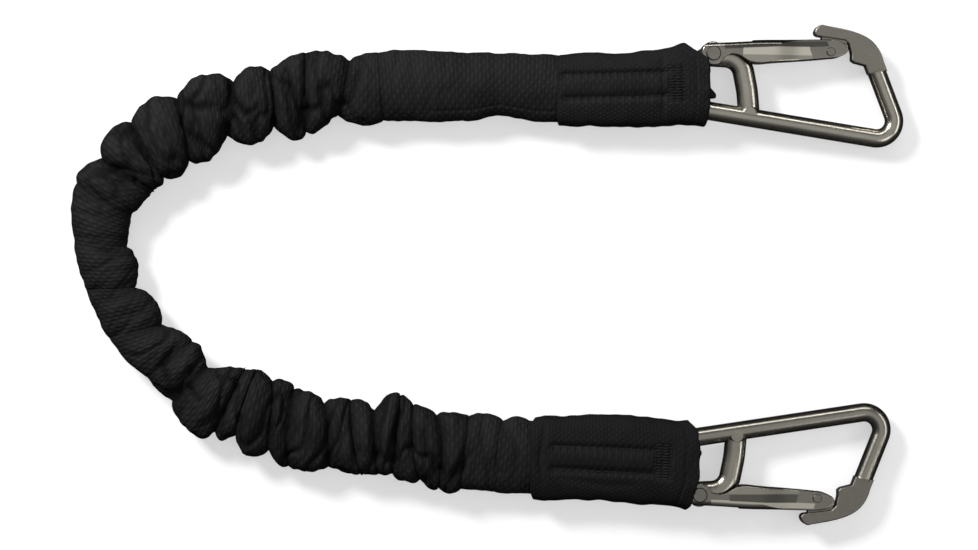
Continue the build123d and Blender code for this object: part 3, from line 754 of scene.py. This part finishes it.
def sleeve_rings(out, ins, swell):
    """Place of each ring of points along the folds, its part of the way over its lobe, and the
    lobe's number.  On a full lobe the rings crowd towards the folds."""
    t, tau, lobe = [], [], []
    last = len(FOLDS) - 1
    for k in range(last):
        run = 0.5 * ((out[k + 1, 0] - out[k, 0]) + (ins[k + 1, 0] - ins[k, 0]))
        rings = max(8, int(run / RING_STEP))
        f = np.arange(rings) / rings
        crisp = min(1.0, float(swell[k].max()) / 2.0)
        f = (1 - crisp) * f + crisp * (0.35 * f + 0.65 * (1 - np.cos(math.pi * f)) / 2)
        t.append(k + f)
        tau.append(f)
        lobe.append(np.full(rings, k))
    t = np.concatenate(t + [[last]])
    tau = np.concatenate(tau + [[1.0]])
    lobe = np.concatenate(lobe + [[last - 1]])
    return t, tau, lobe


def sleeve_lobes(line):
    """The sleeve before its wrinkles: each point in space, the same point by distance along,
    sideways and up, how gathered and how far from its folds each ring is, and its half width on
    the inside of the U."""
    out = np.array([line.near(*f[0]) for f in FOLDS])
    ins = np.array([line.near(*f[1]) for f in FOLDS])
    swell = np.array([f[3:6] for f in FOLDS])
    t, tau, lobe = sleeve_rings(out, ins, swell)
    c, sn = np.cos(AROUND), np.sin(AROUND)

    full = np.sin(math.pi * tau) ** 0.85
    b = swell[lobe]
    high = catmull([f[2] for f in FOLDS], t) + b[:, 2] * full
    w_out = b[:, 0] * full - catmull(out[:, 1], t)
    w_in = b[:, 1] * full + catmull(ins[:, 1], t)

    softness = catmull(np.convolve(swell[:, 2], [0.5, 0.5])[:len(FOLDS)], t)
    n = (1.72 + 0.2 * np.clip(softness, 0, 2.6))[:, None]
    lat = np.sign(c) * np.abs(c) ** (2 / n)
    lat = np.where(c > 0, w_in[:, None] * lat, w_out[:, None] * lat)
    up = np.sign(sn) * np.abs(sn) ** (2 / n) * high[:, None]
    gather = np.clip(softness / 2.4, 0, 1)[:, None]

    share = (1 + c) / 2
    s = catmull(ins[:, 0], t)[:, None] * share + catmull(out[:, 0], t)[:, None] * (1 - share)
    lean = b.max(1) * OVERHANG * np.sin(2 * math.pi * tau) * np.abs(np.cos(math.pi * tau))
    bend = np.array([noise.noise((k * 1.7, 3.1, 0.4)) for k in t])[:, None]
    s = s - lean[:, None] + gather * 3.2 * bend * sn ** 2
    place, side = line.at(np.clip(s, 0, line.length))
    p = np.concatenate([place + side * lat[..., None], MID_Z + up[..., None]], -1)
    return p, np.stack([s, lat, up], -1), gather, full[:, None], w_in[:, None]


def sleeve_wrinkles(p, flow, gather, full):
    """How far the sleeve's points move out of their surface, and how deep in a fold they lie, which sets
    their painted shade.
    """
    lift = np.abs(np.sin(AROUND))
    crosswise = noise_field(flow, (3.1, 12.0, 9.0))
    pleat = np.exp(-(noise_field(flow + 40.0, (7.5, 20.0, 13.0)) / PLEAT_HALF) ** 2)
    broad = noise_field(p, (9.0, 9.0, 9.0))
    deep = np.maximum(gather * (1 - full) ** 1.2, 0.75 * gather * pleat)
    push = gather * (0.9 * crosswise + 0.9 * broad - PLEAT_DEPTH * pleat * lift ** 0.5)
    push = push + (1 - gather) * (0.22 * crosswise + 0.5 * broad)
    for path, depth, width in WRINKLES:
        d, part = distance_to(path, p[..., 0], p[..., 1])
        groove = np.exp(-(d / width) ** 2) * lift ** 0.7 * (1 - 0.55 * np.abs(2 * part - 1) ** 2)
        push = push - depth * groove
        deep = np.maximum(deep, groove * min(1.0, depth / 1.7))
    return push, deep


def sleeve_tape(flow, w_in):
    """The doubled edge on the inside of the sleeve's flat part, and the seam beside it: the height it
    adds, and painted shade along the seam's groove.
    """
    s, inward = flow[..., 0], w_in - flow[..., 1]
    strip = smooth(s, TAPE_FROM, TAPE_FROM + 5) * (1 - smooth(s, TAPE_TO - 6, TAPE_TO))
    strip = strip * (np.cos(AROUND) > 0) * np.abs(np.sin(AROUND)) ** 0.3
    raised = strip * (1 - smooth(inward, TAPE_WIDE - 0.7, TAPE_WIDE - 0.2))
    seam = strip * np.exp(-((inward - TAPE_WIDE) / 0.4) ** 2)
    return 0.28 * raised - 0.25 * seam, 0.5 * seam


def sleeve_grid():
    """Points of the gathered sleeve, their places on the cloth, and how much painted shade they get from
    lying deep in a fold or on the seam.
    """
    line = Line(nurbs_line("sleeve_route", SLEEVE_ROUTE, MID_Z))
    p, flow, gather, full, w_in = sleeve_lobes(line)
    outward = -grid_normals(p)
    push, deep = sleeve_wrinkles(p, flow, gather, full)
    tape, seam = sleeve_tape(flow, w_in)
    p = clear_of_cord(p + outward * (push + tape)[..., None])
    p[..., 2] = np.clip(p[..., 2], *SOFT_Z)
    u = length_along(p)
    v = np.repeat(AROUND / (2 * math.pi) * SLEEVE_FLAT_M[0] / MM, len(u), 0)
    return p[:, ::-1], u, v[:, ::-1], np.clip(np.maximum(deep, seam), 0, 1)[:, ::-1]


def clear_of_cord(p):
    """Push the sleeve's points out of the elastic cord and one thickness of cloth."""
    cord = Line(nurbs_line("cord_guide", CORD_ROUTE, MID_Z, per_run=12)).points[:, :2]
    flat = p[..., :2].reshape(-1, 2)
    d2 = ((flat[:, None] - cord[None]) ** 2).sum(2)
    axis = cord[np.argmin(d2, axis=1)].reshape(p.shape[:2] + (2,))
    axis = np.concatenate([axis, np.full(p.shape[:2] + (1,), MID_Z)], 2)
    away = p - axis
    r = np.linalg.norm(away, axis=2)
    need = CORD_D_M / MM / 2 + SLEEVE_T + CORD_GAP
    grown = need + CORD_EASE * np.log1p(np.exp((r - need) / CORD_EASE))
    scale = np.where(r < need + 2.0, grown / np.maximum(r, 0.5), 1.0)
    return axis + away * scale[..., None]


def make_sleeve(material):
    p, u, v, deep = sleeve_grid()
    sleeve = shell("sleeve_gathered_webbing", p, SLEEVE_T, u, v, material, every=2, deep=deep)
    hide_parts("sleeve")
    stretch_with_limb(sleeve)


# ---- cuffs and their thread ----

def cuff_half(cuff, x):
    xs, top, low = np.array(cuff["edges"]).T
    return np.interp(x, xs, (top + low) / 2), np.interp(x, xs, (top - low) / 2)


def cuff_local(cuff, x, y):
    """Distance along and across a cuff's own frame; along is negative into the lanyard."""
    yaw = math.radians(cuff["yaw"])
    dx, dy = x - cuff["at"][0], y - cuff["at"][1]
    return dx * math.cos(yaw) + dy * math.sin(yaw), -dx * math.sin(yaw) + dy * math.cos(yaw)


def cuff_relief(cuff, x, y):
    """Height of sewn grooves, the padded middle, the hem and creases, added to the cuff's surface."""
    along, across = cuff_local(cuff, x, y)
    row = smooth(along, ROW_FROM - 2, ROW_FROM + 1) * (1 - smooth(along, ROW_TO - 1, ROW_TO + 3))
    off_row = np.abs(across) - ROW_SIDE
    pull = np.sin(2 * math.pi * along / STITCH_PITCH)
    z = -GROOVE_DEPTH * np.exp(-(off_row / GROOVE_HALF) ** 2) * row
    z = z + 0.3 * np.exp(-(across / 3.0) ** 2) * row
    z = z + 0.22 * pull * np.exp(-(off_row / 1.5) ** 2) * row
    tack_to = TACK_FROM + TACK_LONG
    tack = smooth(along, TACK_FROM - 1, TACK_FROM + 0.5)
    tack = tack * (1 - smooth(along, tack_to - 0.6, tack_to + 1.4))
    z = z - TACK_DEPTH * tack * (1 - smooth(np.abs(across), TACK_SIDE - 0.5, TACK_SIDE + 1.5))
    mid, half = cuff_half(cuff, x)
    mouth_q, mouth_x = np.array(cuff["mouth"]).T
    from_mouth = np.interp(np.clip((y - mid) / half, -1, 1), mouth_q, mouth_x) - x
    z = z + cuff["hem"] * (1 - smooth(from_mouth, HEM_WIDE - 0.8, HEM_WIDE - 0.1))
    z = z - 0.8 * cuff["hem"] * np.exp(-((from_mouth - HEM_WIDE) / 0.5) ** 2)
    for path, depth, width in cuff["creases"]:
        d, part = distance_to(path, x, y)
        z = z - depth * np.exp(-(d / width) ** 2) * (1 - 0.6 * np.abs(2 * part - 1) ** 2)
    return z


def cuff_level(cuff, x, y, face):
    """Height above the middle plane of the cuff's upper (1) or lower (-1) face."""
    mid, half = cuff_half(cuff, x)
    q = np.clip(np.abs(y - mid) / half, 0, 1)
    bulk = (1 - q ** CUFF_SQUARE) ** (1 / CUFF_SQUARE)
    along, _ = cuff_local(cuff, x, y)
    high = CUFF_HIGH - 0.9 * (1 - smooth(along, -50.0, -12.0)) if face > 0 else CUFF_LOW
    return (high + cuff_relief(cuff, x, y)) * bulk


def cuff_grid(cuff):
    """Points of a cuff from its back edge to its uneven mouth."""
    q = np.sign(np.cos(CUFF_AROUND)) * np.abs(np.cos(CUFF_AROUND)) ** (2 / CUFF_SQUARE)
    f = np.linspace(0, 1, CUFF_RINGS)[:, None]
    f = f - 0.02 * np.sin(2 * math.pi * f)
    back, mouth = (np.interp(q, *np.array(cuff[edge]).T) for edge in ("back", "mouth"))
    x = back + (mouth - back) * f
    mid, half = cuff_half(cuff, x)
    y = mid + half * q
    above = np.sin(CUFF_AROUND) >= 0
    z = np.where(above, cuff_level(cuff, x, y, 1), -cuff_level(cuff, x, y, -1))
    p = np.stack([x, y, MID_Z + z], -1)
    mouthward = smooth(f, 0.93, 1.0)
    p[..., 2] += 0.35 * noise_field(p * [1, 1, 0], (7.0, 9.0, 1.0)) * (1 - np.abs(q) ** 4)
    p[..., 1] += 0.5 * np.abs(q) ** 6 * noise_field(p, (5.0, 9.0, 30.0))
    p[..., 0] += 0.35 * mouthward * noise_field(p, (30.0, 2.2, 6.0))
    p[..., 1] += smooth(f, 0.90, 1.0) * np.abs(q) ** 5 * np.sign(q) * cuff["flare"]
    p[..., 2] += 0.45 * mouthward * noise_field(p, (30.0, 4.5, 30.0))
    p[..., 2] = np.clip(p[..., 2], *CUFF_Z)
    return p[:, ::-1]


def make_cuff(name, cuff, node, material):
    """Cuff of webbing with a real thickness, from its back edge to its uneven mouth."""
    p = cuff_grid(cuff)
    v = np.repeat((CUFF_AROUND / (2 * math.pi) * CUFF_ROUND_MM)[None, :], len(p), 0)
    piece = shell(name, p, CUFF_T, length_along(p), v, material)
    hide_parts(node)
    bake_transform(piece)
    return piece


def thread_run(start, end, level, radius, verts, faces, uvs):
    """One stitch: a round thread that dives into the cloth at both ends."""
    count, around = 9, 6
    f = np.linspace(0, 1, count)
    a = np.linspace(0, 2 * math.pi, around, endpoint=False)
    run = np.array(end) - np.array(start)
    length = np.hypot(*run)
    x, y = start[0] + run[0] * f, start[1] + run[1] * f
    arch = np.sin(math.pi * f) ** 0.5
    z = level(x, y)
    z = z + np.sign(z.mean()) * radius * (1.15 * arch - 0.9)
    thick = (radius * (0.55 + 0.45 * arch))[:, None]
    out = np.cos(a) * thick
    ring = np.stack([x[:, None] - run[1] / length * out, y[:, None] + run[0] / length * out,
                     MID_Z + z[:, None] + np.sin(a) * thick], -1)
    base = sum(len(v) for v in verts)
    last = base + (count - 1) * around
    u = np.repeat((f * length)[:, None], around, 1)
    points, quads, uv = grid_arrays(ring, u, np.repeat(a[None], count, 0), False, base)
    verts.append(points)
    faces.extend(quads.tolist())
    faces.extend([[base + j for j in range(around)][::-1], [last + j for j in range(around)]])
    uvs.extend([uv, np.zeros((2 * around, 2))])


def make_stitching(name, cuff, node, body, material):
    """Two lengthwise seams and a bar tack on both faces of a cuff."""
    verts, faces, uvs = [], [], []
    yaw = math.radians(cuff["yaw"])

    def world(along, across):
        return (cuff["at"][0] + along * math.cos(yaw) - across * math.sin(yaw),
                cuff["at"][1] + along * math.sin(yaw) + across * math.cos(yaw))

    for face in (1, -1):
        def level(x, y, face=face):
            return face * cuff_level(cuff, x, y, face)

        for side in (ROW_SIDE, -ROW_SIDE):
            for i in range(int((ROW_TO - ROW_FROM) / STITCH_PITCH)):
                a = ROW_FROM + (i + 0.12) * STITCH_PITCH
                sway = 0.12 * noise.noise((i * 0.9, side, face))
                thread_run(world(a, side + sway), world(a + 2.5, side - sway), level, 0.34,
                           verts, faces, uvs)
        rows = int(TACK_SIDE / TACK_STEP)
        for i in range(-rows, rows + 1):
            shift = 0.6 * (i % 2)
            for a in (TACK_FROM + shift, TACK_FROM + 3.4 + shift * 0.5):
                thread_run(world(a, i * TACK_STEP), world(a + 2.9, i * TACK_STEP + 0.25), level, 0.36,
                           verts, faces, uvs)
        for a in (TACK_FROM, TACK_FROM + TACK_LONG):
            for j in range(-4, 4):
                thread_run(world(a, j * 1.8), world(a + 0.1, j * 1.8 + 1.6), level, 0.34,
                           verts, faces, uvs)
    piece = make_object(name, np.concatenate(verts), faces, np.concatenate(uvs), material)
    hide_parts(node)
    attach(piece, body)


# ---- load loops ----

def loop_path():
    """Middle of the strap seen from its edge: the upper leg, round the bar and the lower leg."""
    r = LOOP_R + LOOP_T / 2
    gap = LEG_GAP + LOOP_T / 2
    leave = np.array([-r * math.sin(LOOP_TURN), r * math.cos(LOOP_TURN)])
    leg = np.array([(-LEG_END, gap), (-LEG_MEET - 3, gap), (-LEG_MEET + 1, gap + 0.15)])
    mid = [leave + (leg[-1] - leave) * f for f in (0.75, 0.5, 0.25)]
    upper = np.concatenate([leg, mid])
    a = np.linspace(-LOOP_TURN, math.pi + LOOP_TURN, 40)
    arc = np.stack([r * np.sin(a), r * np.cos(a)], -1)
    path = np.concatenate([upper, arc, upper[::-1] * [1, -1]])
    along = np.concatenate([[0], np.cumsum(np.linalg.norm(np.diff(path, axis=0), axis=1))])
    at = np.linspace(0, along[-1], int(along[-1] / 0.8))
    return at, np.stack([np.interp(at, along, path[:, k]) for k in range(2)], -1)


def make_loop(name, loop, node, body, material, droop, bulge):
    """Strap folded round the hook's eye bar, its two legs sewn to the flattened cord.
    Round the bar it has slid sideways by droop, and that edge stands off the bar by bulge."""
    at, path = loop_path()
    d = np.gradient(path, axis=0)
    d /= np.linalg.norm(d, axis=1)[:, None]
    normal = np.stack([-d[:, 1], d[:, 0]], -1)
    a = np.linspace(0, 2 * math.pi, 36, endpoint=False)
    across = np.sign(np.cos(a)) * np.abs(np.cos(a)) ** 0.45 * LOOP_HALF
    thick = np.sign(np.sin(a)) * np.abs(np.sin(a)) ** 0.6 * LOOP_T / 2 * 0.96
    near_bar = smooth(path[:, :1], -12.0, 2.0)
    y = across * (1 + 0.08 * near_bar) + droop * near_bar
    slack = smooth(across * np.sign(droop), -0.5, 3.5) * smooth(path[:, :1], -1.0, 5.5)
    xz = path[:, None] + normal[:, None] * thick[:, None]
    xz[..., 0] += slack * bulge
    yaw = math.radians(loop["yaw"])
    p = np.stack([
        loop["at"][0] + xz[..., 0] * math.cos(yaw) - y * math.sin(yaw),
        loop["at"][1] + xz[..., 0] * math.sin(yaw) + y * math.cos(yaw),
        MID_Z + xz[..., 1]], -1)
    u = np.repeat(at[:, None], len(a), 1)
    v = np.repeat((a / (2 * math.pi) * LOOP_ROUND_MM)[None], len(at), 0)
    piece = capped_tube(name, p[:, ::-1], u, v, material)
    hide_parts(node)
    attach(piece, body)


# ---- gate springs ----

def make_spring(letter, hook, material):
    """Coil between the gate's tabs and the pusher."""
    origin, x, y, z = hook_axes(hook)
    angle = math.radians(SPRING_ANGLE)
    axis = x * math.cos(angle) + y * math.sin(angle)
    side = np.cross(z, axis)
    pivot = origin + (x * PIVOT[0] + y * PIVOT[1]) * MM
    count, around = 420, 8
    f = np.linspace(0, 1, count)
    dead = 1.0 / (SPRING_TURNS + 2)
    run = np.clip((f - dead) / (1 - 2 * dead), 0, 1)
    near, far = SPRING_FROM + SPRING_WIRE, SPRING_TO - SPRING_WIRE
    lift = 2.0 * SPRING_WIRE
    along = near + lift * np.clip(f / dead, 0, 1) + (far - near - 2 * lift) * run \
        + lift * np.clip((f - 1 + dead) / dead, 0, 1)
    turn = 2 * math.pi * (SPRING_TURNS + 2) * f
    out = np.cos(turn)[:, None] * side + np.sin(turn)[:, None] * z
    centre = along[:, None] * axis + SPRING_R * out
    d = np.gradient(centre, axis=0)
    d /= np.linalg.norm(d, axis=1)[:, None]
    up = np.cross(d, out)
    a = np.linspace(0, 2 * math.pi, around, endpoint=False)
    ring = np.cos(a)[:, None] * out[:, None] + np.sin(a)[:, None] * up[:, None]
    p = pivot / MM + centre[:, None] + SPRING_WIRE * ring
    u = np.repeat((turn * SPRING_R)[:, None], around, 1)
    v = np.repeat((a * SPRING_WIRE)[None], count, 0)
    piece = capped_tube(f"gate_spring_{letter}_coil", p[:, ::-1], u, v, material)
    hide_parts(f"hook_{letter}_gate_spring")
    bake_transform(piece)


# ---- carried-over CAD nodes ----

def dress(node, material):
    """Give a CAD node its finish."""
    obj = frame["nodes"][node]
    obj.data.materials.clear()
    obj.data.materials.append(material)


def dress_hook(letter, hook, shade, painted_gate_tones):
    """Finish a hook's parts; shade darkens all its steel as painted shade, and tones are the painted
    light and shade on its gate.
    """
    rod = steel(f"stainless_rod_{letter}", scaled((0.54, 0.512, 0.44), shade),
                scaled((0.40, 0.382, 0.33), shade), 0.22, (0.06, 1.0, 1.0), beak=hook)
    sheet = steel(f"gate_sheet_{letter}", scaled((0.38, 0.36, 0.31), shade),
                  scaled((0.29, 0.275, 0.24), shade), 0.23, (0.05, 1.0, 1.0), painted_gate_hook=hook, painted_gate_tones=painted_gate_tones)
    pins = steel(f"pin_steel_{letter}", scaled((0.36, 0.34, 0.30), shade),
                 scaled((0.26, 0.25, 0.22), shade), 0.25)
    wire = steel(f"spring_wire_{letter}", (0.36, 0.35, 0.34), (0.22, 0.22, 0.22), 0.25)
    nub = plastic(f"pusher_plastic_{letter}", (0.06, 0.06, 0.065), (0.03, 0.03, 0.032))
    dress(f"hook_{letter}_body", rod)
    dress(f"hook_{letter}_gate", sheet)
    dress(f"hook_{letter}_gate_rivet", pins)
    dress(f"hook_{letter}_latch_pin", pins)
    make_spring(letter, hook, wire)
    dress(f"hook_{letter}_pusher", nub)


def main():
    make_camera()
    make_lights()
    make_floor()
    make_cord(braid("cord_braid_mat", (0.01, 0.01, 0.011), (0.05, 0.05, 0.052), (0.32, 0.30, 0.26)),
              twisted("cord_rubber_mat", (0.42, 0.34, 0.22), (0.62, 0.54, 0.40), 9.0, 0.6))
    black, wear_and_painted_shade = (0.0014, 0.0014, 0.0015), (0.012, 0.012, 0.0118)
    make_sleeve(webbing("sleeve_webbing_mat", 1.7, 1.7, black, wear_and_painted_shade, 0.00042))
    cloth_a = webbing("cuff_a_webbing_mat", 1.5, 0.95, (0.0012, 0.0012, 0.0013), (0.0095, 0.0095, 0.0099),
                      0.00028)
    cloth_b = webbing("cuff_b_webbing_mat", 1.5, 0.95, (0.0008, 0.0008, 0.0009), (0.0060, 0.0060, 0.0062),
                      0.00028)
    thread = twisted("thread_mat", (0.0015, 0.0015, 0.0018), (0.013, 0.013, 0.014), 0.9, 0.6)
    strap = webbing("loop_webbing_mat", 1.2, 0.8, black, (0.014, 0.014, 0.0145), 0.0003)
    cuff_a = make_cuff("cuff_a_webbing", CUFF_A, "cuff_a", cloth_a)
    cuff_b = make_cuff("cuff_b_webbing", CUFF_B, "cuff_b", cloth_b)
    make_stitching("stitching_a_thread", CUFF_A, "stitching_a", "end_a", thread)
    make_stitching("stitching_b_thread", CUFF_B, "stitching_b", "lanyard", thread)
    make_loop("load_loop_a_strap", LOOP_A, "load_loop_a", "end_a", strap, -1.9, 2.9)
    make_loop("load_loop_b_strap", LOOP_B, "load_loop_b", "lanyard", strap, 1.6, 2.4)
    # shade darkens each hook's steel as painted shade, hook B's more than hook A's; the tones paint light
    # and shade on each gate.
    dress_hook("a", HOOK_A, 0.76, (0.34, 1.25, 2.2))
    dress_hook("b", HOOK_B, 0.58, (2.2, 1.3, 0.5))


main()
